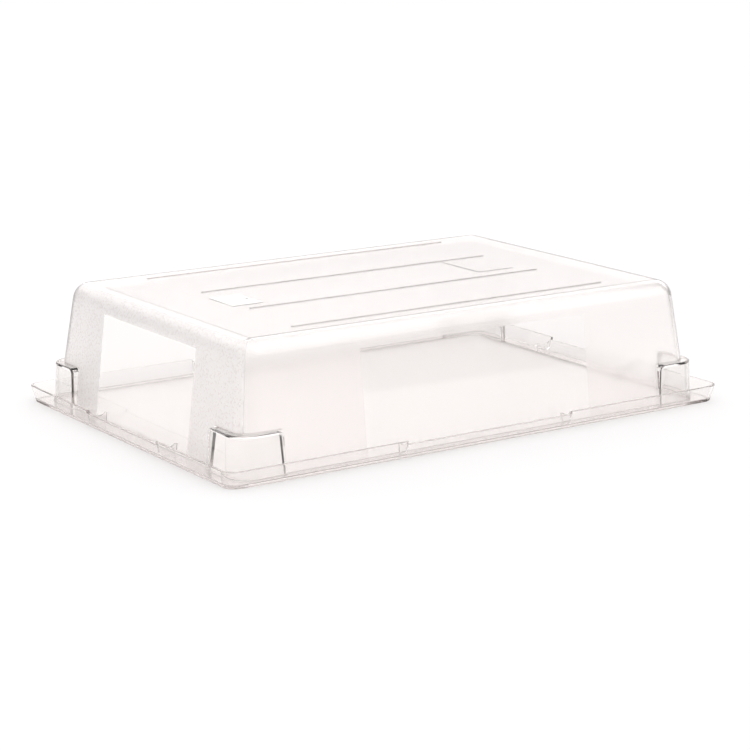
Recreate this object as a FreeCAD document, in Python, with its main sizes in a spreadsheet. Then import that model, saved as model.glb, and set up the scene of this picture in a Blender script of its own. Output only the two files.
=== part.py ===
"""Humidity dome tray: a clear moulded dome that stands inside the rim of a shallow clear tray.

Frame, in millimetres: X along the long side, Y along the short side, +Z up. The origin is the
centre of the tray's underside, on the surface it rests on.

The two mouldings:
  base_tray  flat floor, an upstanding rim that leans outwards and is lower along the middle of
             each side, and a recessed underside, so that it rests on its border only
  dome       hollow shell with leaning walls and a rounded roof edge, four hollow corner lugs,
             eight fins that centre its foot inside the tray's rim, four thin roof ribs, two
             flat roof pads and the small round mark where the plastic entered the mould
"""

import FreeCAD, Part
import os
import Sketcher

DIMS = "Dimensions"

DIMENSIONS = {
    # Tray: the rim leans outwards from its foot up to its lip.
    "tray_length": 660.0,
    "tray_width": 457.0,
    "rim_height": 19.3,
    "rim_low_height": 16.0,
    "rim_lean": 4.0,
    "rim_corner": 16.0,
    "tray_wall": 3.0,
    "floor_round": 2.5,
    "tray_foot_round": 1.5,
    "lip_round": 0.9,
    "recess_length": 594.0,
    "recess_width": 406.0,
    "recess_corner": 9.0,
    "recess_depth": 0.8,
    # Places along each side where the rim steps down and the dome has a fin.
    "long_side_place": 110.0,
    "short_side_place": 79.0,
    # Dome shell.
    "foot_length": 611.0,
    "foot_width": 420.0,
    "wall_lean": 16.7,
    "roof_height": 141.0,
    "dome_round": 20.5,
    "dome_wall": 3.0,
    # Hollow lugs round the dome's corners.
    "lug_length": 621.0,
    "lug_width": 427.0,
    "lug_lean": 1.5,
    "lug_corner": 25.0,
    "lug_start_x": 251.5,
    "lug_start_y": 151.0,
    "lug_top": 48.0,
    "lug_end_round": 6.0,
    "lug_end_wall": 1.6,
    "lug_edge_round": 2.0,
    # Fins across the channel between the shell and the rim.
    "fin_thickness": 2.0,
    "fin_gap": 0.5,
    "fin_top": 18.5,
    "fin_bend": 7.0,
    "fin_horn": 13.5,
    "fin_horn_width": 3.0,
    "fin_dip_radius": 12.0,
    # Roof ribs and pads.
    "rib_width": 1.6,
    "rib_height": 0.9,
    "outer_rib_y": 155.0,
    "outer_rib_length": 416.0,
    "inner_rib_y": 52.0,
    "inner_rib_length": 392.0,
    "pad_height": 0.4,
    "gate_pad_length": 38.0,
    "gate_pad_width": 51.0,
    "gate_pad_x": -187.0,
    "gate_pad_y": -7.5,
    "gate_radius": 1.8,
    "gate_height": 0.9,
    "gate_x": -172.0,
    "gate_y": -5.5,
    "plain_pad_length": 50.0,
    "plain_pad_width": 73.0,
    "plain_pad_x": 155.0,
    "plain_pad_y": 8.5,
}

# The tray's floor is as thick as its rim. Slopes are sideways movement for each unit of height.
# The sketch of a fin starts with its hollow curve this deep, before the radius sets it.
DERIVED = {
    "floor_top": "=tray_wall",
    "rim_slope": "=rim_lean / rim_height",
    "wall_slope": "=wall_lean / (roof_height - floor_top)",
    "lug_slope": "=lug_lean / (lug_top - floor_top)",
    "fin_first_dip": "=fin_dip_radius / 4",
}

# Two lengths closer than this count as the same, and a cut this long goes through everything.
NEAR = 0.05
WHOLE_WAY = 1000.0
# The edges of the lugs' tops are looked for this far outside the shell's walls and beyond.
WALL_MARGIN = 1.0
# A cut that takes away less than this volume counts as no cut.
LEAST_CUT = 1.0
QUARTER_TURN = FreeCAD.Rotation(FreeCAD.Vector(1, 0, 0), 90)


def add_dimensions(doc):
    """The spreadsheet that drives the model: a row for each value, with its name as the alias."""
    sheet = doc.addObject("Spreadsheet::Sheet", DIMS)
    rows = [*DIMENSIONS.items(), *DERIVED.items()]
    for row, (name, content) in enumerate(rows, start=1):
        sheet.set(f"A{row}", name)
        sheet.set(f"B{row}", str(content))
        sheet.setAlias(f"B{row}", name)
    doc.recompute()


def bind(target, prop, formula):
    """Binds a property to a formula whose words are the spreadsheet's names."""
    known = DIMENSIONS.keys() | DERIVED.keys()
    words = [f"{DIMS}.{word}" if word in known else word for word in formula.split()]
    target.setExpression(prop, " ".join(words))


def size(doc, formula):
    """The present value of a formula, for a sketch's first guess or to find an edge."""
    return float(doc.getObject(DIMS).evalExpression(formula))


def new_body(doc, label):
    body = doc.addObject("PartDesign::Body", label)
    body.Label = label
    body.Placement = FreeCAD.Placement()
    return body


def plane_of(body, role):
    return next(f for f in body.Origin.OriginFeatures if f.Role == role)


def new_sketch(body, name, role="XY_Plane", height=None):
    """A sketch on one of the body's own origin planes, moved along its normal by height."""
    sketch = body.newObject("Sketcher::SketchObject", name)
    sketch.AttachmentSupport = [(plane_of(body, role), "")]
    sketch.MapMode = "FlatFace"
    if height:
        bind(sketch, "AttachmentOffset.Base.z", height)
    return sketch


def drive(sketch, name, formula, kind, *where):
    """A named dimension of the sketch, bound to a formula."""
    first = size(sketch.Document, formula)
    index = sketch.addConstraint(Sketcher.Constraint(kind, *where, first))
    sketch.renameConstraint(index, name)
    bind(sketch, f"Constraints.{name}", formula)


def centred_rectangle(sketch, length, width, x="0", y="0"):
    """A rectangle round the point x, y, with every value given as a formula."""
    left, right = f"{x} - ( {length} ) / 2", f"{x} + ( {length} ) / 2"
    near, far = f"{y} - ( {width} ) / 2", f"{y} + ( {width} ) / 2"
    x0, x1, y0, y1 = (size(sketch.Document, formula) for formula in (left, right, near, far))
    corners = [FreeCAD.Vector(*place, 0) for place in ((x0, y0), (x1, y0), (x1, y1), (x0, y1))]
    following = corners[1:] + corners[:1]
    lines = [sketch.addGeometry(Part.LineSegment(a, b)) for a, b in zip(corners, following)]
    for line, after in zip(lines, lines[1:] + lines[:1]):
        sketch.addConstraint(Sketcher.Constraint("Coincident", line, 2, after, 1))
    for line, direction in zip(lines, ("Horizontal", "Vertical") * 2):
        sketch.addConstraint(Sketcher.Constraint(direction, line))
    drive(sketch, "left", left, "DistanceX", lines[0], 1)
    drive(sketch, "near", near, "DistanceY", lines[0], 1)
    drive(sketch, "right", right, "DistanceX", lines[2], 1)
    drive(sketch, "far", far, "DistanceY", lines[2], 1)


def wedge(body, name, low, high, sides, leans):
    """A block from height low to height high whose sides lean.

    sides are the left, right, near and far sides at the bottom, and leans how far each of
    them has moved along X or Y at the top.
    """
    feature = body.newObject("PartDesign::AdditiveWedge", name)
    feature.Placement = FreeCAD.Placement(FreeCAD.Vector(), QUARTER_TURN)
    left, right, near, far = sides
    at_top = [f"{side} + ( {lean} )" for side, lean in zip(sides, leans)]
    # Turned so that it stands up, the block's own Y is up and its own Z is the other way to Y.
    values = {
        "Ymin": low,
        "Ymax": high,
        "Xmin": left,
        "Xmax": right,
        "Zmin": f"0 - ( {far} )",
        "Zmax": f"0 - ( {near} )",
        "X2min": at_top[0],
        "X2max": at_top[1],
        "Z2min": f"0 - ( {at_top[3]} )",
        "Z2max": f"0 - ( {at_top[2]} )",
    }
    # The far side of each pair goes first, so that the block never turns inside out.
    for prop in ("Ymax", "Xmax", "Zmax", "X2max", "Z2max", "Ymin", "Xmin", "Zmin", "X2min", "Z2min"):
        setattr(feature, prop, size(body.Document, values[prop]))
        bind(feature, prop, values[prop])
    return feature


def centred_wedge(body, name, low, high, length, width, lean):
    """A wedge round the origin whose four sides all move outwards by lean on the way up."""
    sides = (f"0 - ( {length} ) / 2", f"( {length} ) / 2", f"0 - ( {width} ) / 2", f"( {width} ) / 2")
    return wedge(body, name, low, high, sides, (f"0 - ( {lean} )", lean) * 2)


def pad(body, name, sketch, length, midplane=False):
    feature = body.newObject("PartDesign::Pad", name)
    feature.Profile = sketch
    feature.Midplane = midplane
    bind(feature, "Length", length)
    return feature


def cut_through(body, name, sketch):
    """Cuts a sketch's outline through the whole body, both ways."""
    feature = body.newObject("PartDesign::Pocket", name)
    feature.Profile = sketch
    feature.Midplane = True
    feature.Length = WHOLE_WAY
    return feature


def repeat_mirrored(body, name, feature, *roles):
    """Repeats a feature on the other side of each of the body's origin planes named by role."""
    repeat = body.newObject("PartDesign::MultiTransform", name)
    repeat.Originals = [feature]
    mirrors = []
    for role in roles:
        mirror = body.newObject("PartDesign::Mirrored", f"{name}_{role}")
        mirror.MirrorPlane = (plane_of(body, role), [""])
        mirrors.append(mirror)
    repeat.Transformations = mirrors
    body.Tip = repeat


def fillet(body, name, radius, *tests):
    """Rounds the edges of the body so far that pass every test."""
    body.Document.recompute()
    base = body.Tip
    edges = enumerate(base.Shape.Edges, start=1)
    chosen = [f"Edge{i}" for i, edge in edges if all(test(edge) for test in tests)]
    if not chosen:
        raise RuntimeError(f"{name}: no edge found to round")
    feature = body.newObject("PartDesign::Fillet", name)
    feature.Base = (base, chosen)
    bind(feature, "Radius", radius)
    body.Tip = feature


def expect_cut(body, name, make):
    """Runs make() and stops the build unless it took something away."""
    body.Document.recompute()
    before = body.Shape.Volume
    make()
    body.Document.recompute()
    if body.Shape.Volume > before - LEAST_CUT:
        raise RuntimeError(f"{name} cut nothing")


def level_at(*heights):
    """A test for edges that lie flat at one of the heights."""

    def test(edge):
        box = edge.BoundBox
        return box.ZLength < NEAR and min(abs(box.ZMax - height) for height in heights) < NEAR

    return test


def rising(edge):
    """A test for edges that climb, such as the corner between two walls."""
    return edge.BoundBox.ZLength > NEAR


def middle_of(edge):
    return edge.valueAt((edge.FirstParameter + edge.LastParameter) / 2)


def beyond(doc, length, width):
    """A test for edges whose middle is further out than a rectangle round the origin."""
    half_length = size(doc, length) / 2
    half_width = size(doc, width) / 2

    def test(edge):
        middle = middle_of(edge)
        return abs(middle.x) > half_length or abs(middle.y) > half_width

    return test


def longer_than(length):
    """A test for edges longer than a length."""
    return lambda edge: edge.Length > length


def straight_across(doc, out_x, out_y):
    """A test for edges square to X at the distance out_x, or square to Y at the distance out_y."""
    x, y = size(doc, out_x), size(doc, out_y)

    def test(edge):
        box = edge.BoundBox
        at_x = box.XLength < NEAR and abs(abs(box.XMax) - x) < NEAR
        at_y = box.YLength < NEAR and abs(abs(box.YMax) - y) < NEAR
        return at_x or at_y

    return test


def build_tray(doc):
    body = new_body(doc, "base_tray")
    foot = ("tray_length - 2 * rim_lean", "tray_width - 2 * rim_lean")
    centred_wedge(body, "tray_block", "0", "rim_height", *foot, "rim_lean")
    fillet(body, "tray_corners", "rim_corner", rising)
    add_well(doc, body)
    lower_rim(doc, body, "long_side", "XZ_Plane", "long_side_place")
    lower_rim(doc, body, "short_side", "YZ_Plane", "short_side_place")
    fillet(body, "tray_foot_rounding", "tray_foot_round", level_at(0))
    lip = level_at(size(doc, "rim_height"), size(doc, "rim_low_height"))
    fillet(body, "lip_rounding", "lip_round", lip, longer_than(size(doc, "2 * tray_wall")))
    add_recess(body)
    return body


def add_well(doc, body):
    """Opens the block from the top, leaving the rim and the floor equally thick."""

    def cut():
        block = body.Tip
        top = level_at(size(doc, "rim_height"))
        faces = enumerate(block.Shape.Faces, start=1)
        well = body.newObject("PartDesign::Thickness", "well")
        well.Base = (block, [f"Face{i}" for i, face in faces if top(face)])
        well.Join = "Arc"
        well.Reversed = True
        bind(well, "Value", "tray_wall")
        body.Tip = well

    expect_cut(body, "well", cut)
    fillet(body, "well_floor_rounding", "floor_round", level_at(size(doc, "tray_wall")))


def add_recess(body):
    """Hollows the underside a little, so that the tray stands on its border."""
    outline = new_sketch(body, "recess_outline")
    centred_rectangle(outline, "recess_length", "recess_width")

    def cut():
        recess = body.newObject("PartDesign::Pocket", "underside_recess")
        recess.Profile = outline
        recess.Reversed = True
        bind(recess, "Length", "recess_depth")

    expect_cut(body, "underside_recess", cut)
    depth = size(body.Document, "recess_depth")
    fillet(
        body,
        "recess_corners",
        "recess_corner",
        lambda edge: rising(edge) and edge.BoundBox.ZMax < depth + NEAR,
    )


def lower_rim(doc, body, side, role, place):
    """Takes the top off the rim along the middle of two opposite sides."""
    outline = new_sketch(body, f"{side}_low_outline", role)
    middle = "( rim_low_height + 2 * rim_height ) / 2"
    centred_rectangle(outline, f"2 * {place}", "2 * rim_height - rim_low_height", y=middle)
    expect_cut(body, f"{side}_low_rim", lambda: cut_through(body, f"{side}_low_rim", outline))


def build_dome(doc):
    body = new_body(doc, "dome")
    add_form(doc, body, "0", "0")
    lug_tops = [level_at(size(doc, "lug_top")), past_walls(doc, "lug_top")]
    fillet(body, "lug_edges", "lug_edge_round", *lug_tops)
    growing_space = new_body(doc, "growing_space")
    add_form(doc, growing_space, "dome_wall", "lug_end_wall")

    def cut():
        hollow = body.newObject("PartDesign::Boolean", "hollow")
        hollow.setObjects([growing_space])
        hollow.Type = "Cut"
        body.Tip = hollow

    expect_cut(body, "hollow", cut)
    add_fins(doc, body, "long_side", "YZ_Plane", "long_side_place", "foot_width", "tray_width")
    add_fins(doc, body, "short_side", "XZ_Plane", "short_side_place", "foot_length", "tray_length")
    add_roof_details(doc, body)
    return body


def add_form(doc, body, inset, end_inset):
    """The dome's solid form with its four lugs, smaller all round by inset.

    The ends of the lugs are moved in by end_inset.
    """
    extent = (f"foot_length - 2 * {inset}", f"foot_width - 2 * {inset}")
    top = f"roof_height - {inset}"
    lean = f"0 - wall_slope * ( {top} - floor_top )"
    shell = f"{body.Label}_shell"
    centred_wedge(body, shell, "floor_top", top, *extent, lean)
    roof = level_at(size(doc, top))
    rounded = f"dome_round - {inset}"
    fillet(body, f"{shell}_rounding", rounded, lambda edge: rising(edge) or roof(edge))
    add_lugs(doc, body, inset, end_inset)


def add_lugs(doc, body, inset, end_inset):
    """Four lugs that wrap the corners, with their tops a little below half the height."""
    name = f"{body.Label}_lug"
    top = f"lug_top - {inset}"
    sides = (
        f"lug_start_x + {end_inset}",
        f"lug_length / 2 - {inset}",
        f"lug_start_y + {end_inset}",
        f"lug_width / 2 - {inset}",
    )
    lean = f"lug_slope * ( {top} - floor_top )"
    leans = (lean, f"0 - {lean}") * 2
    lug = wedge(body, name, "floor_top", top, sides, leans)
    repeat_mirrored(body, f"{name}s", lug, "YZ_Plane", "XZ_Plane")
    # Further out than the shell's foot along both sides, only the lugs' own corners climb.
    past_foot = [
        beyond(doc, f"foot_length - 2 * {inset}", "2 * lug_width"),
        beyond(doc, "2 * lug_length", f"foot_width - 2 * {inset}"),
    ]
    fillet(body, f"{name}_corners", f"lug_corner - {inset}", rising, *past_foot)
    ends = straight_across(doc, f"{sides[0]} + {lean}", f"{sides[2]} + {lean}")
    on_top = level_at(size(doc, top))
    fillet(body, f"{name}_ends", f"lug_end_round - {end_inset}", on_top, ends)


def past_walls(doc, height):
    """A test for edges clearly further out than the shell's walls are at a height."""
    walls_in = f"2 * wall_slope * ( {height} - floor_top ) - 2 * {WALL_MARGIN}"
    return beyond(doc, f"foot_length - ( {walls_in} )", f"foot_width - ( {walls_in} )")


def add_fins(doc, body, side, role, place, foot, lip):
    """Four thin fins across the channel, two on each of two opposite sides.

    A fin's outline runs out along the floor, up beside the rim, back in a hollow curve and
    ends in a short horn against the shell. Only its root is inside the shell's wall.
    """
    root = f"{foot} / 2 - dome_wall / 2 - wall_slope * fin_horn"
    low = "floor_top + fin_gap"
    rim_foot = f"{lip} / 2 - rim_lean - tray_wall - fin_gap - floor_round"
    rim_bend = f"{lip} / 2 - tray_wall - fin_gap - rim_slope * ( rim_height - fin_bend )"
    rim_top = f"{lip} / 2 - tray_wall - fin_gap - rim_slope * ( rim_height - fin_top )"
    horn = f"{foot} / 2 - wall_slope * fin_horn + fin_horn_width"
    corners = [
        ("root_foot", root, low),
        ("rim_foot", rim_foot, low),
        ("rim_bend", rim_bend, "fin_bend"),
        ("rim_top", rim_top, "fin_top"),
        ("horn", horn, "fin_horn"),
        ("root_top", root, "fin_horn"),
    ]
    sketch = new_sketch(body, f"{side}_fin_outline", role, place)
    points = [FreeCAD.Vector(size(doc, x), size(doc, z), 0) for _, x, z in corners]
    pieces = []
    ends = {}
    for (name, _, _), start, end in zip(corners, points, points[1:] + points[:1]):
        if name == "rim_top":
            # Drawn from the horn to the rim, because an arc runs anticlockwise.
            below_middle = (start + end) / 2 - FreeCAD.Vector(0, size(doc, "fin_first_dip"), 0)
            dip = sketch.addGeometry(Part.Arc(end, below_middle, start))
            pieces.append(dip)
            ends[dip] = (2, 1)
        else:
            line = sketch.addGeometry(Part.LineSegment(start, end))
            pieces.append(line)
            ends[line] = (1, 2)
    for piece, after in zip(pieces, pieces[1:] + pieces[:1]):
        where = (piece, ends[piece][1], after, ends[after][0])
        sketch.addConstraint(Sketcher.Constraint("Coincident", *where))
    for piece, (name, x, z) in zip(pieces, corners):
        drive(sketch, f"{name}_out", x, "DistanceX", piece, ends[piece][0])
        drive(sketch, f"{name}_up", z, "DistanceY", piece, ends[piece][0])
    drive(sketch, "dip_radius", "fin_dip_radius", "Radius", dip)
    fin = pad(body, f"{side}_fin", sketch, "fin_thickness", midplane=True)
    repeat_mirrored(body, f"{side}_fins", fin, "YZ_Plane", "XZ_Plane")


def add_roof_details(doc, body):
    """Four thin ribs along the roof, two flat pads, and the mould's gate mark on one of them."""
    for name in ("outer_rib", "inner_rib"):
        sketch = new_sketch(body, f"{name}_outline", height="roof_height")
        centred_rectangle(sketch, f"{name}_length", "rib_width", y=f"{name}_y")
        rib = pad(body, name, sketch, "rib_height")
        repeat_mirrored(body, f"{name}s", rib, "XZ_Plane")
    for name in ("gate_pad", "plain_pad"):
        sketch = new_sketch(body, f"{name}_outline", height="roof_height")
        extent = (f"{name}_length", f"{name}_width")
        centred_rectangle(sketch, *extent, x=f"{name}_x", y=f"{name}_y")
        pad(body, name, sketch, "pad_height")
    gate = body.newObject("PartDesign::AdditiveCylinder", "gate_mark")
    bind(gate, "Radius", "gate_radius")
    bind(gate, "Height", "gate_height")
    bind(gate, "Placement.Base.x", "gate_x")
    bind(gate, "Placement.Base.y", "gate_y")
    bind(gate, "Placement.Base.z", "roof_height")


def check(doc, bodies):
    """Stops the build if any object failed or any body isn't one valid solid."""
    doc.recompute()
    for entry in doc.Objects:
        if "Invalid" in entry.State or "Error" in entry.State:
            raise RuntimeError(f"{entry.Name} failed: {entry.State}")
    for body in bodies:
        shape = body.Shape
        if shape.isNull() or not shape.isValid() or len(shape.Solids) != 1:
            raise RuntimeError(f"{body.Label} isn't one valid solid")


def main():
    doc = FreeCAD.newDocument("humidity_dome_tray")
    add_dimensions(doc)
    bodies = [build_tray(doc), build_dome(doc)]
    check(doc, bodies)
    os.makedirs("parts", exist_ok=True)
    for body in bodies:
        body.Shape.exportStep(os.path.join("parts", f"{body.Label}.step"))


main()
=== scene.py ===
"""Looks, light and camera for the clear humidity dome tray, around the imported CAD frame.

Both mouldings are clear plastic, shaded by where a point is on the object: the dome is frosted
outside apart from its windows and lugs, and the tray is polished apart from its floor.
"""

import math

import bpy
from mathutils import Euler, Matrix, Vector

MM = 0.001

# Camera: place and reach in metres, turn and pitch in degrees.
CAMERA_PLACE = (-1.41217, -2.07000, 0.63791)
CAMERA_TURN = -34.35
CAMERA_PITCH = -13.64
CAMERA_LENS_MM = 107.15
CAMERA_SENSOR_MM = 36.0
CAMERA_REACH = 100

# Plastic: how strongly it bends light, and what its thickness takes from the light.
PLASTIC_IOR = 1.5
PLASTIC_COLOUR = (0.50, 0.44, 0.42)
PLASTIC_DENSITY = 10.0

# Tints of the plastic's surfaces. Those of the left window, lugs, ledges, ribs, dome foot and rim
# are painted shade, and the tray foot's is a painted shadow.
CLEAR_TINT = (0.978, 0.976, 0.975)
FROST_TINT = (1.0, 0.978, 0.972)
# Painted shade: the left short window is darker than the right one, as less light falls on the left.
LEFT_WINDOW_PAINTED_SHADE = (0.935, 0.931, 0.929)
# Painted shade: the clear lugs are darker than the windows of the same plastic.
LUG_PAINTED_SHADE = (0.93, 0.925, 0.92)
# Painted shade: the dark line where the lugs' tops meet the dome wall.
LEDGE_PAINTED_SHADE = (0.76, 0.74, 0.73)
# Painted shade: the roof ribs are painted darker to show as dark lines.
RIB_PAINTED_SHADE = (0.66, 0.64, 0.63)
# Painted shade: the dome's underside, where it stands in the tray, is darker.
DOME_FOOT_PAINTED_SHADE = (0.91, 0.90, 0.895)
# Painted shade: the rim's lower part and the face of the short rims are a little darker.
RIM_PAINTED_SHADE = (0.990, 0.984, 0.982)
# Painted shadow: the dark line where the tray's foot meets the floor.
TRAY_FOOT_PAINTED_SHADOW = (0.66, 0.64, 0.63)
TRAY_FLOOR_TINT = (0.952, 0.951, 0.950)

# What is left of lamplight and bounced light that has gone through a surface.
DOME_SHADE = (0.965, 0.958, 0.955)
RIM_SHADE = (0.90, 0.89, 0.885)
TRAY_FLOOR_SHADE = (0.985, 0.98, 0.978)

# Darkening towards edge-on, partly for the longer way through plastic and partly as painted shade:
# the facing where it starts, the facing where it is full, and the grey it reaches. Facing is 0
# straight on and 1 edge-on.
DOME_WALL_EDGES = (0.50, 0.72, 0.68)
DOME_EDGES = (0.80, 0.97, 0.50)
TRAY_WALL_EDGES = (0.56, 0.80, 0.77)
TRAY_EDGES = (0.70, 0.97, 0.84)

# Upward share of a face's normal: a face is upright up to the first value, and not past the second.
UPRIGHT_NORMALS = (0.2, 0.5)

# Dome: places of the parts that its looks follow. A wall starts this far from the middle plane,
# and a rise has the two heights, from the lugs' tops or the roof, between which a look comes in.
DOME_MIDDLE = (0, 0, 30 * MM)
LONG_WINDOW_HALF = 150 * MM
LONG_WALL_START = 190 * MM
SHORT_WINDOW_HALF = 102 * MM
SHORT_WALL_START = 286 * MM
WINDOW_TOP = 119 * MM
LUG_START_X = 251.5 * MM
LUG_START_Y = 151 * MM
LUG_TOP = 48 * MM
LEDGE_RISE = (-0.7 * MM, -0.3 * MM)
LEDGE_OVER = 1.2 * MM
DOME_FOOT = (3.2 * MM, 3.6 * MM)
ROOF_TOP = 141 * MM
ROOF_BEND = (128 * MM, 140 * MM)
PAD_RISE = (0.1 * MM, 0.3 * MM)
RIB_RISE = (0.02 * MM, 0.1 * MM)
RIB_REACH = 2 * MM
OUTER_RIB = 155 * MM
INNER_RIB = 52 * MM
SOFT_EDGE = 0.7 * MM

# Coarse frost covers the short walls, up to the middle of each corner and the roof's edge.
CORNER_MIDDLE = 96 * MM
CORNER_BLEND = 1.5 * MM
COARSE_FROST_TOP = 139 * MM

# Frost: the milky share of a surface, its roughness and the strength of its bumps.
LONG_WALL_MILK = 0.10
SHORT_WALL_MILK = 0.36
ROOF_MILK = 0.18
DOME_FOOT_MILK = 0.3
POLISHED_ROUGHNESS = 0.02
FINE_ROUGHNESS = 0.16
COARSE_ROUGHNESS = 0.30
FINE_BUMPS = 0.25
COARSE_BUMPS = 1.0
GRAIN_SCALE = 420
GRAIN_DETAIL = 3
GRAIN_ROUGHNESS = 0.6
GRAIN_DEPTH = 0.6 * MM
# Speckles of the coarse frost: from this low to this high grain, and the greys at both.
SPECKLE_GRAIN = (0.38, 0.62)
SPECKLE_GREYS = (0.87, 1.20)

# Tray: where its floor ends, its rim's lower part and the face of its short rims, which get painted
# shade, and its foot, which gets a painted shadow.
TRAY_FLOOR_END_X = (300 * MM, 302 * MM)
TRAY_FLOOR_END_Y = (205 * MM, 207 * MM)
RIM_LOW_PART = (3.5 * MM, 6 * MM)
SHORT_RIM_START = 322 * MM
TRAY_FOOT_TOP = 1.0 * MM
TRAY_FLOOR_ROUGHNESS = 0.5
TRAY_FLOOR_CLEAR = 0.9

# Room: brightness, the heights and directions between which it changes, and how dim each gets.
ROOM_COLOUR = (1.0, 0.970, 0.962)
ROOM_LIGHT = 1.51
HORIZON_LIGHT = 0.3
SKY_RISE = (0.10, 0.45)
OPPOSITE_SKY_RISE = (0.05, 0.16)
OPPOSITE_SPREAD = (-0.80, -0.94)
LEFT_SPREAD = (-0.8, 0.2)
LEFT_LIGHT = 0.55
BEHIND_SPREAD = (0.45, 0.85)
BEHIND_LIGHT = 0.5

# Floor: its sizes in metres, its shades to the plastic near and far, and its shade to the camera.
FLOOR_HALF = 30.0
FLOOR_DROP = 0.2 * MM
NEAR_RADIUS = 1.5
NEAR_BLEND = 0.4
FLOOR_NEAR = (0.930, 0.935, 0.935)
FLOOR_FAR = (0.25, 0.25, 0.25)
FLOOR_TO_CAMERA = (0.858, 0.878, 0.886)

# Soft lamp behind the object: the way to it, its distance and size in metres, its power in watts.
LAMP_DIRECTION = (-0.25, 0.80, 0.62)
LAMP_DISTANCE = 3.0
LAMP_WIDTH = 2.0
LAMP_HEIGHT = 0.9
LAMP_POWER = 7

# Light goes through many clear walls before it reaches the camera.
CLEAR_BOUNCES = 32
GLOSSY_BOUNCES = 16
DIFFUSE_BOUNCES = 6


class Nodes:
    """Short ways to add and join shader nodes in one tree."""

    def __init__(self, tree):
        self.tree = tree

    def add(self, kind, **settings):
        node = self.tree.nodes.new(kind)
        for name, value in settings.items():
            setattr(node, name, value)
        return node

    def link(self, source, target):
        self.tree.links.new(source, target)

    def feed(self, socket, value):
        """Joins another node's output to a socket, or sets the socket to a plain value."""
        if hasattr(value, "is_output"):
            self.link(value, socket)
        elif socket.type == "RGBA":
            socket.default_value = (*value, 1.0)
        else:
            socket.default_value = value

    def feed_all(self, sockets, values):
        for socket, value in zip(sockets, values):
            self.feed(socket, value)

    def feed_named(self, node, values):
        for name, value in values.items():
            self.feed(node.inputs[name], value)

    def math(self, operation, *values):
        node = self.add("ShaderNodeMath", operation=operation)
        self.feed_all(node.inputs, values)
        return node.outputs[0]

    def vector(self, operation, *values):
        """Vector maths, which gives a number for lengths and dot products."""
        node = self.add("ShaderNodeVectorMath", operation=operation)
        self.feed_all(node.inputs, values)
        return node.outputs["Value" if operation in ("LENGTH", "DOT_PRODUCT") else "Vector"]

    def split(self, vector):
        node = self.add("ShaderNodeSeparateXYZ")
        self.link(vector, node.inputs[0])
        return node.outputs

    def ramp(self, value, low, high, out_low=0.0, out_high=1.0):
        """Smooth step from out_low to out_high while value goes from low to high."""
        node = self.add("ShaderNodeMapRange", interpolation_type="SMOOTHSTEP")
        values = {"Value": value, "From Min": low, "From Max": high}
        self.feed_named(node, {**values, "To Min": out_low, "To Max": out_high})
        return node.outputs[0]

    def blend(self, share, first, second):
        """Smooth step from first to second while share goes from 0 to 1."""
        return self.ramp(share, 0, 1, first, second)

    def colour(self, share, first, second, blend_type="MIX"):
        """The first colour, with the second mixed in or, for MULTIPLY, multiplied in."""
        node = self.add("ShaderNodeMix", data_type="RGBA", blend_type=blend_type)
        # The node's sockets in between are for numbers and vectors.
        self.feed_all([node.inputs[0], node.inputs[6], node.inputs[7]], [share, first, second])
        return node.outputs[2]

    def together(self, operation, values):
        result = values[0]
        for value in values[1:]:
            result = self.math(operation, result, value)
        return result

    def largest(self, *values):
        return self.together("MAXIMUM", values)

    def smallest(self, *values):
        return self.together("MINIMUM", values)

    def product(self, *values):
        return self.together("MULTIPLY", values)

    def inverse(self, value):
        return self.math("SUBTRACT", 1.0, value)

    def below(self, value, limit):
        return self.ramp(value, limit - SOFT_EDGE, limit + SOFT_EDGE, 1.0, 0.0)

    def above(self, value, limit):
        return self.ramp(value, limit - SOFT_EDGE, limit + SOFT_EDGE)


class Spot:
    """Where the shaded point is: off_x and off_y are its distances from the middle planes."""

    def __init__(self, nodes):
        self.place = nodes.add("ShaderNodeTexCoord").outputs["Object"]
        self.x, y, self.height = nodes.split(self.place)
        self.off_x = nodes.math("ABSOLUTE", self.x)
        self.off_y = nodes.math("ABSOLUTE", y)


def new_material(name):
    material = bpy.data.materials.new(name)
    material.use_nodes = True
    material.node_tree.nodes.clear()
    return material


def darkened(nodes, tint, grey, share=1.0):
    """The tint times a grey, in the given share."""
    channels = nodes.add("ShaderNodeCombineColor")
    nodes.feed_all(channels.inputs, (grey, grey, grey))
    return nodes.colour(share, tint, channels.outputs[0], "MULTIPLY")


def edge_tint(nodes, tint, start, end, darkest):
    """Darkens a tint where the surface is seen edge-on, partly as a longer way through plastic does
    and partly as painted shade.
    """
    facing = nodes.add("ShaderNodeLayerWeight").outputs["Facing"]
    return darkened(nodes, tint, nodes.ramp(facing, start, end, 1.0, darkest))


def upright(nodes):
    """1 on faces that stand up, 0 on flat ones and on the upper part of rounded edges."""
    upward = nodes.split(nodes.add("ShaderNodeNewGeometry").outputs["Normal"])["Z"]
    return nodes.ramp(nodes.math("ABSOLUTE", upward), *UPRIGHT_NORMALS, 1.0, 0.0)


def finish_plastic(nodes, surface, shade):
    """Joins the surface to the output, over plastic that takes a little light on the way through.

    Lamplight and bounced light go straight through the surface, so that the floor under the
    object stays pale.
    """
    body = nodes.add("ShaderNodeVolumeAbsorption")
    nodes.feed_named(body, {"Color": PLASTIC_COLOUR, "Density": PLASTIC_DENSITY})
    path = nodes.add("ShaderNodeLightPath").outputs
    straight = nodes.largest(path["Is Shadow Ray"], path["Is Diffuse Ray"])
    through = nodes.add("ShaderNodeBsdfTransparent")
    nodes.feed_named(through, {"Color": shade})
    mix = nodes.add("ShaderNodeMixShader")
    nodes.feed_all(mix.inputs, (straight, surface, through.outputs[0]))
    output = nodes.add("ShaderNodeOutputMaterial")
    nodes.feed_named(output, {"Surface": mix.outputs[0], "Volume": body.outputs[0]})


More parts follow.
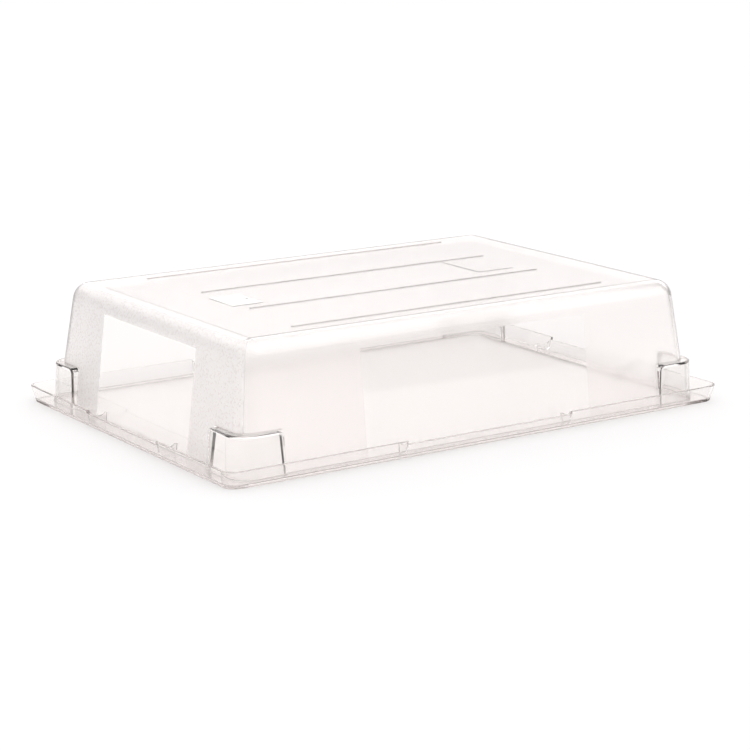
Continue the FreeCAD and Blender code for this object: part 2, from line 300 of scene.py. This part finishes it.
def outer_side(nodes, spot):
    """1 on the faces that look away from the middle of the dome, 0 on its inner faces."""
    geometry = nodes.add("ShaderNodeNewGeometry").outputs
    # The normal comes turned towards the viewer, so this turns it back where seen from behind.
    turn = nodes.math("MULTIPLY_ADD", geometry["Backfacing"], -2.0, 1.0)
    from_middle = nodes.vector("SUBTRACT", spot.place, DOME_MIDDLE)
    away = nodes.vector("DOT_PRODUCT", geometry["True Normal"], from_middle)
    return nodes.math("GREATER_THAN", nodes.product(away, turn), 0.0)


def lug_corners(nodes, spot):
    """1 where the lugs are, seen from above."""
    return nodes.product(nodes.above(spot.off_x, LUG_START_X), nodes.above(spot.off_y, LUG_START_Y))


def lugs(nodes, spot):
    """1 on the whole lugs."""
    return nodes.product(lug_corners(nodes, spot), nodes.below(spot.height, LUG_TOP))


def ledges(nodes, spot):
    """1 on the flat tops of the lugs."""
    start, end = LEDGE_RISE
    return nodes.product(
        lug_corners(nodes, spot),
        nodes.ramp(spot.height, LUG_TOP + start, LUG_TOP + end),
        nodes.below(spot.height, LUG_TOP + LEDGE_OVER),
    )


def short_windows(nodes, spot):
    """1 on the windows of the short walls."""
    return nodes.product(
        nodes.below(spot.off_y, SHORT_WINDOW_HALF),
        nodes.above(spot.off_x, SHORT_WALL_START),
        nodes.below(spot.height, WINDOW_TOP),
    )


def long_windows(nodes, spot):
    """1 on the windows of the long walls."""
    return nodes.product(
        nodes.below(spot.off_x, LONG_WINDOW_HALF),
        nodes.above(spot.off_y, LONG_WALL_START),
        nodes.below(spot.height, WINDOW_TOP),
    )


def above_roof(nodes, spot, rise):
    """Goes from 0 to 1 between the two heights of the rise, counted from the roof."""
    start, end = rise
    return nodes.ramp(spot.height, ROOF_TOP + start, ROOF_TOP + end)


def ribs(nodes, spot):
    """1 on the roof ribs."""
    off_outer = nodes.math("ABSOLUTE", nodes.math("SUBTRACT", spot.off_y, OUTER_RIB))
    off_inner = nodes.math("ABSOLUTE", nodes.math("SUBTRACT", spot.off_y, INNER_RIB))
    near = nodes.below(nodes.smallest(off_outer, off_inner), RIB_REACH)
    return nodes.product(near, above_roof(nodes, spot, RIB_RISE))


def dome_foot(nodes, spot, share):
    """The given share at the dome's underside, 0 above it."""
    return nodes.ramp(spot.height, *DOME_FOOT, share, 0.0)


def frosted_parts(nodes, spot):
    """1 on the frosted faces seen from outside, 0 on polished faces and on inner ones."""
    # The last of these is what stands on the left half of the roof: its pad, and half of each rib.
    polished = nodes.largest(
        long_windows(nodes, spot),
        short_windows(nodes, spot),
        lugs(nodes, spot),
        nodes.product(nodes.below(spot.x, 0), above_roof(nodes, spot, PAD_RISE)),
    )
    from_outside = nodes.inverse(nodes.add("ShaderNodeNewGeometry").outputs["Backfacing"])
    return nodes.product(nodes.inverse(polished), outer_side(nodes, spot), from_outside)


def short_sides(nodes, spot):
    """1 on the short walls, up to the middle of each corner and to the roof."""
    past_corner = nodes.math("SUBTRACT", spot.off_x, spot.off_y)
    ends = nodes.ramp(past_corner, CORNER_MIDDLE - CORNER_BLEND, CORNER_MIDDLE + CORNER_BLEND)
    return nodes.product(ends, nodes.below(spot.height, COARSE_FROST_TOP))


def stipple(nodes, spot, strength):
    """Grain of the frosted faces: its value, and the normal with its bumps."""
    noise = nodes.add("ShaderNodeTexNoise")
    nodes.feed_named(noise, {"Vector": spot.place, "Scale": GRAIN_SCALE})
    nodes.feed_named(noise, {"Detail": GRAIN_DETAIL, "Roughness": GRAIN_ROUGHNESS})
    grain = noise.outputs["Fac"]
    bump = nodes.add("ShaderNodeBump")
    nodes.feed_named(bump, {"Distance": GRAIN_DEPTH, "Strength": strength, "Height": grain})
    return grain, bump.outputs[0]


def dome_tint_and_shade(nodes, spot, frost, coarse_frost, grain):
    """The dome's colour: each part's tint, with painted shade on the left window, lugs, ledges, ribs
    and foot, darkened in the frost's speckles and, partly as painted shade, edge-on.
    """
    # Painted shade on the left short window, for the dimmer light on the left.
    left_window = nodes.product(short_windows(nodes, spot), nodes.below(spot.x, 0))
    tint = nodes.colour(frost, CLEAR_TINT, FROST_TINT)
    tint = nodes.colour(left_window, tint, LEFT_WINDOW_PAINTED_SHADE)
    tint = darkened(nodes, tint, nodes.ramp(grain, *SPECKLE_GRAIN, *SPECKLE_GREYS), coarse_frost)
    # Painted shade on the lugs.
    tint = nodes.colour(lugs(nodes, spot), tint, LUG_PAINTED_SHADE)
    # Painted shade on the roof ribs.
    tint = nodes.colour(ribs(nodes, spot), tint, RIB_PAINTED_SHADE)
    # Painted shade along the lugs' flat tops.
    tint = nodes.colour(ledges(nodes, spot), tint, LEDGE_PAINTED_SHADE)
    # Painted shade at the dome's underside.
    tint = nodes.colour(dome_foot(nodes, spot, 1.0), tint, DOME_FOOT_PAINTED_SHADE)
    # Painted shade, beside the longer way through plastic: upright walls darken as they turn
    # edge-on.
    walls = nodes.product(upright(nodes), nodes.below(spot.height, ROOF_TOP - SOFT_EDGE))
    tint = nodes.colour(walls, tint, edge_tint(nodes, tint, *DOME_WALL_EDGES))
    return edge_tint(nodes, tint, *DOME_EDGES)


def dome_milk(nodes, spot, frost, short):
    """The milky share of the dome's surface."""
    wall_milk = nodes.blend(short, LONG_WALL_MILK, SHORT_WALL_MILK)
    roof_milk = nodes.ramp(spot.height, *ROOF_BEND, 0.0, ROOF_MILK)
    frost_milk = nodes.product(frost, nodes.largest(wall_milk, roof_milk))
    # The underside is milky too, so that it doesn't show as a dark line through the rim.
    return nodes.largest(frost_milk, dome_foot(nodes, spot, DOME_FOOT_MILK))


def dome_material():
    material = new_material("dome_plastic")
    nodes = Nodes(material.node_tree)
    spot = Spot(nodes)
    frost = frosted_parts(nodes, spot)
    short = short_sides(nodes, spot)
    coarse_frost = nodes.product(frost, short)
    bumps = nodes.product(frost, nodes.blend(short, FINE_BUMPS, COARSE_BUMPS))
    grain, normal = stipple(nodes, spot, bumps)
    frost_roughness = nodes.blend(short, FINE_ROUGHNESS, COARSE_ROUGHNESS)
    principled = nodes.add("ShaderNodeBsdfPrincipled")
    nodes.feed_named(principled, {
        "Base Color": dome_tint_and_shade(nodes, spot, frost, coarse_frost, grain),
        "IOR": PLASTIC_IOR,
        "Transmission Weight": nodes.inverse(dome_milk(nodes, spot, frost, short)),
        "Roughness": nodes.blend(frost, POLISHED_ROUGHNESS, frost_roughness),
        "Normal": normal,
    })
    finish_plastic(nodes, principled.outputs[0], DOME_SHADE)
    return material


def tray_tint_and_shade(nodes, spot, floor):
    """The tray's colour: each part's tint, with painted shade on the rim's lower part and short rims
    and a painted shadow at the foot, darkened edge-on partly as painted shade.
    """
    border = nodes.inverse(floor)
    low_part = nodes.ramp(spot.height, *RIM_LOW_PART, 1.0, 0.0)
    # Painted shade on the rim's lower part and on the short rims' faces.
    rim = nodes.product(border, nodes.largest(low_part, nodes.above(spot.off_x, SHORT_RIM_START)))
    # Painted shadow along the tray's foot.
    foot = nodes.product(border, nodes.below(spot.height, TRAY_FOOT_TOP))
    tint = nodes.colour(floor, CLEAR_TINT, TRAY_FLOOR_TINT)
    tint = nodes.colour(rim, tint, RIM_PAINTED_SHADE)
    tint = nodes.colour(foot, tint, TRAY_FOOT_PAINTED_SHADOW)
    # Painted shade, beside the longer way through plastic: upright faces darken as they turn
    # edge-on.
    tint = nodes.colour(upright(nodes), tint, edge_tint(nodes, tint, *TRAY_WALL_EDGES))
    return edge_tint(nodes, tint, *TRAY_EDGES)


def tray_material():
    material = new_material("tray_plastic")
    nodes = Nodes(material.node_tree)
    spot = Spot(nodes)
    floor = nodes.product(
        nodes.ramp(spot.off_x, *TRAY_FLOOR_END_X, 1.0, 0.0),
        nodes.ramp(spot.off_y, *TRAY_FLOOR_END_Y, 1.0, 0.0),
    )
    principled = nodes.add("ShaderNodeBsdfPrincipled")
    nodes.feed_named(principled, {
        "Base Color": tray_tint_and_shade(nodes, spot, floor),
        "IOR": PLASTIC_IOR,
        "Transmission Weight": nodes.blend(floor, 1.0, TRAY_FLOOR_CLEAR),
        "Roughness": nodes.blend(floor, POLISHED_ROUGHNESS, TRAY_FLOOR_ROUGHNESS),
    })
    finish_plastic(nodes, principled.outputs[0], nodes.colour(floor, RIM_SHADE, TRAY_FLOOR_SHADE))
    return material


def floor_material():
    """Pale to the camera everywhere, but to the plastic a white disc with a dark floor round it."""
    material = new_material("floor_white")
    nodes = Nodes(material.node_tree)
    away = nodes.vector("LENGTH", nodes.add("ShaderNodeTexCoord").outputs["Object"])
    disc = nodes.ramp(away, NEAR_RADIUS, NEAR_RADIUS + NEAR_BLEND, 1.0, 0.0)
    to_plastic = nodes.colour(disc, FLOOR_FAR, FLOOR_NEAR)
    camera_looks = nodes.add("ShaderNodeLightPath").outputs["Is Camera Ray"]
    diffuse = nodes.add("ShaderNodeBsdfDiffuse")
    nodes.feed_named(diffuse, {"Color": nodes.colour(camera_looks, to_plastic, FLOOR_TO_CAMERA)})
    output = nodes.add("ShaderNodeOutputMaterial")
    nodes.feed_named(output, {"Surface": diffuse.outputs[0]})
    return material


def add_floor():
    mesh = bpy.data.meshes.new("floor")
    corners = [(-1, -1), (1, -1), (1, 1), (-1, 1)]
    mesh.from_pydata([(x * FLOOR_HALF, y * FLOOR_HALF, 0) for x, y in corners], [], [(0, 1, 2, 3)])
    mesh.materials.append(floor_material())
    floor = bpy.data.objects.new("floor", mesh)
    bpy.context.scene.collection.objects.link(floor)
    floor.location.z = -FLOOR_DROP


def add_world():
    """A bright room, white all round to the camera.

    To the plastic it is dim near the horizon, so that edges which bend the view sideways show as
    darker lines. The dim band is narrower opposite the camera, and the room is dimmer on the left
    of the object and behind the camera.
    """
    world = bpy.data.worlds.new("studio")
    bpy.context.scene.world = world
    world.use_nodes = True
    world.node_tree.nodes.clear()
    nodes = Nodes(world.node_tree)
    direction = nodes.add("ShaderNodeTexCoord").outputs["Generated"]
    x, _, height = nodes.split(direction)
    camera_side = Vector((CAMERA_PLACE[0], CAMERA_PLACE[1], 0)).normalized()
    to_camera = nodes.vector("DOT_PRODUCT", direction, camera_side)

    sky = nodes.ramp(height, *SKY_RISE)
    opposite_sky = nodes.ramp(height, *OPPOSITE_SKY_RISE)
    opposite = nodes.product(opposite_sky, nodes.ramp(to_camera, *OPPOSITE_SPREAD))
    bright = nodes.blend(nodes.largest(sky, opposite), HORIZON_LIGHT, 1.0)
    left = nodes.ramp(x, *LEFT_SPREAD, LEFT_LIGHT, 1.0)
    behind = nodes.ramp(to_camera, *BEHIND_SPREAD, 1.0, BEHIND_LIGHT)
    camera_looks = nodes.add("ShaderNodeLightPath").outputs["Is Camera Ray"]
    room = nodes.largest(nodes.product(bright, left, behind), camera_looks)

    background = nodes.add("ShaderNodeBackground")
    nodes.feed_named(background, {"Color": ROOM_COLOUR, "Strength": nodes.product(room, ROOM_LIGHT)})
    output = nodes.add("ShaderNodeOutputWorld")
    nodes.feed_named(output, {"Surface": background.outputs[0]})


def add_lamp():
    """A large soft lamp, turned to the object."""
    light = bpy.data.lights.new("back_softbox", "AREA")
    light.shape = "RECTANGLE"
    light.size = LAMP_WIDTH
    light.size_y = LAMP_HEIGHT
    light.energy = LAMP_POWER
    lamp = bpy.data.objects.new("back_softbox", light)
    bpy.context.scene.collection.objects.link(lamp)
    aim = Vector(LAMP_DIRECTION).normalized()
    lamp.location = aim * LAMP_DISTANCE
    lamp.rotation_euler = aim.to_track_quat("Z", "Y").to_euler()


def add_camera():
    data = bpy.data.cameras.new("camera")
    data.lens = CAMERA_LENS_MM
    data.sensor_width = CAMERA_SENSOR_MM
    data.clip_end = CAMERA_REACH
    camera = bpy.data.objects.new("camera", data)
    bpy.context.scene.collection.objects.link(camera)
    camera.location = CAMERA_PLACE
    # An unturned camera looks straight down, so a quarter turn makes it look level.
    camera.rotation_euler = Euler((math.radians(90 + CAMERA_PITCH), 0, math.radians(CAMERA_TURN)))
    bpy.context.scene.camera = camera


def set_up_light():
    """Plain colours, and enough bounces for light to get through both mouldings."""
    scene = bpy.context.scene
    scene.view_settings.view_transform = "Standard"
    scene.view_settings.look = "None"
    scene.cycles.max_bounces = CLEAR_BOUNCES
    scene.cycles.transmission_bounces = CLEAR_BOUNCES
    scene.cycles.transparent_max_bounces = CLEAR_BOUNCES
    scene.cycles.glossy_bounces = GLOSSY_BOUNCES
    scene.cycles.diffuse_bounces = DIFFUSE_BOUNCES


def paint(piece, material):
    """Gives a piece its material."""
    piece.data.materials.clear()
    piece.data.materials.append(material)


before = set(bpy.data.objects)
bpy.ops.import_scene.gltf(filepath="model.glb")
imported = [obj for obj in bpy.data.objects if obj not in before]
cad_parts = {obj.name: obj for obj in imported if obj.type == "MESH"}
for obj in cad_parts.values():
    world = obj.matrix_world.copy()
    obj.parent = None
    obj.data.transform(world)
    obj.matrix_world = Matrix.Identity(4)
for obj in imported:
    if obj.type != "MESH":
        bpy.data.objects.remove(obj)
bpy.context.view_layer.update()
paint(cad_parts["dome"], dome_material())
paint(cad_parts["base_tray"], tray_material())
add_floor()
add_world()
add_lamp()
add_camera()
set_up_light()
